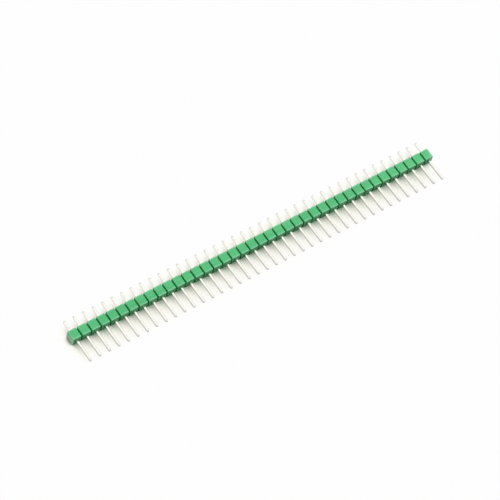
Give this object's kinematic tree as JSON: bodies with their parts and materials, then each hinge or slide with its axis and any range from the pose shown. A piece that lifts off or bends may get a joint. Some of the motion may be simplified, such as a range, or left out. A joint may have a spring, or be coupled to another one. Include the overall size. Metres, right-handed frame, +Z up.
{
  "type": "pin header strip",
  "caption": "Single-row breakaway pin header: square tin-plated pins pressed through a slotted green plastic housing, long mating ends one side, short solder tails the other.",
  "frame": {"origin": "middle of the footprint, on the surface that the strip lies on", "axes": "+X along the row, +Y along the pins towards the solder tails, +Z up from the side that it lies on"},
  "size_m": [0.1012, 0.0114, 0.0025],
  "materials": {
    "housing_plastic": "satin moulded, green through the material",
    "pin_plating": "bright tin plate over brass wire"
  },
  "bodies": {
    "root": {"housing": "housing_plastic", "pin_01": "pin_plating", "pin_02": "pin_plating", "pin_03": "pin_plating", "pin_04": "pin_plating", "pin_05": "pin_plating", "pin_06": "pin_plating", "pin_07": "pin_plating", "pin_08": "pin_plating", "pin_09": "pin_plating", "pin_10": "pin_plating", "pin_11": "pin_plating", "pin_12": "pin_plating", "pin_13": "pin_plating", "pin_14": "pin_plating", "pin_15": "pin_plating", "pin_16": "pin_plating", "pin_17": "pin_plating", "pin_18": "pin_plating", "pin_19": "pin_plating", "pin_20": "pin_plating", "pin_21": "pin_plating", "pin_22": "pin_plating", "pin_23": "pin_plating", "pin_24": "pin_plating", "pin_25": "pin_plating", "pin_26": "pin_plating", "pin_27": "pin_plating", "pin_28": "pin_plating", "pin_29": "pin_plating", "pin_30": "pin_plating", "pin_31": "pin_plating", "pin_32": "pin_plating", "pin_33": "pin_plating", "pin_34": "pin_plating", "pin_35": "pin_plating", "pin_36": "pin_plating", "pin_37": "pin_plating", "pin_38": "pin_plating", "pin_39": "pin_plating", "pin_40": "pin_plating"}
  },
  "joints": []
}
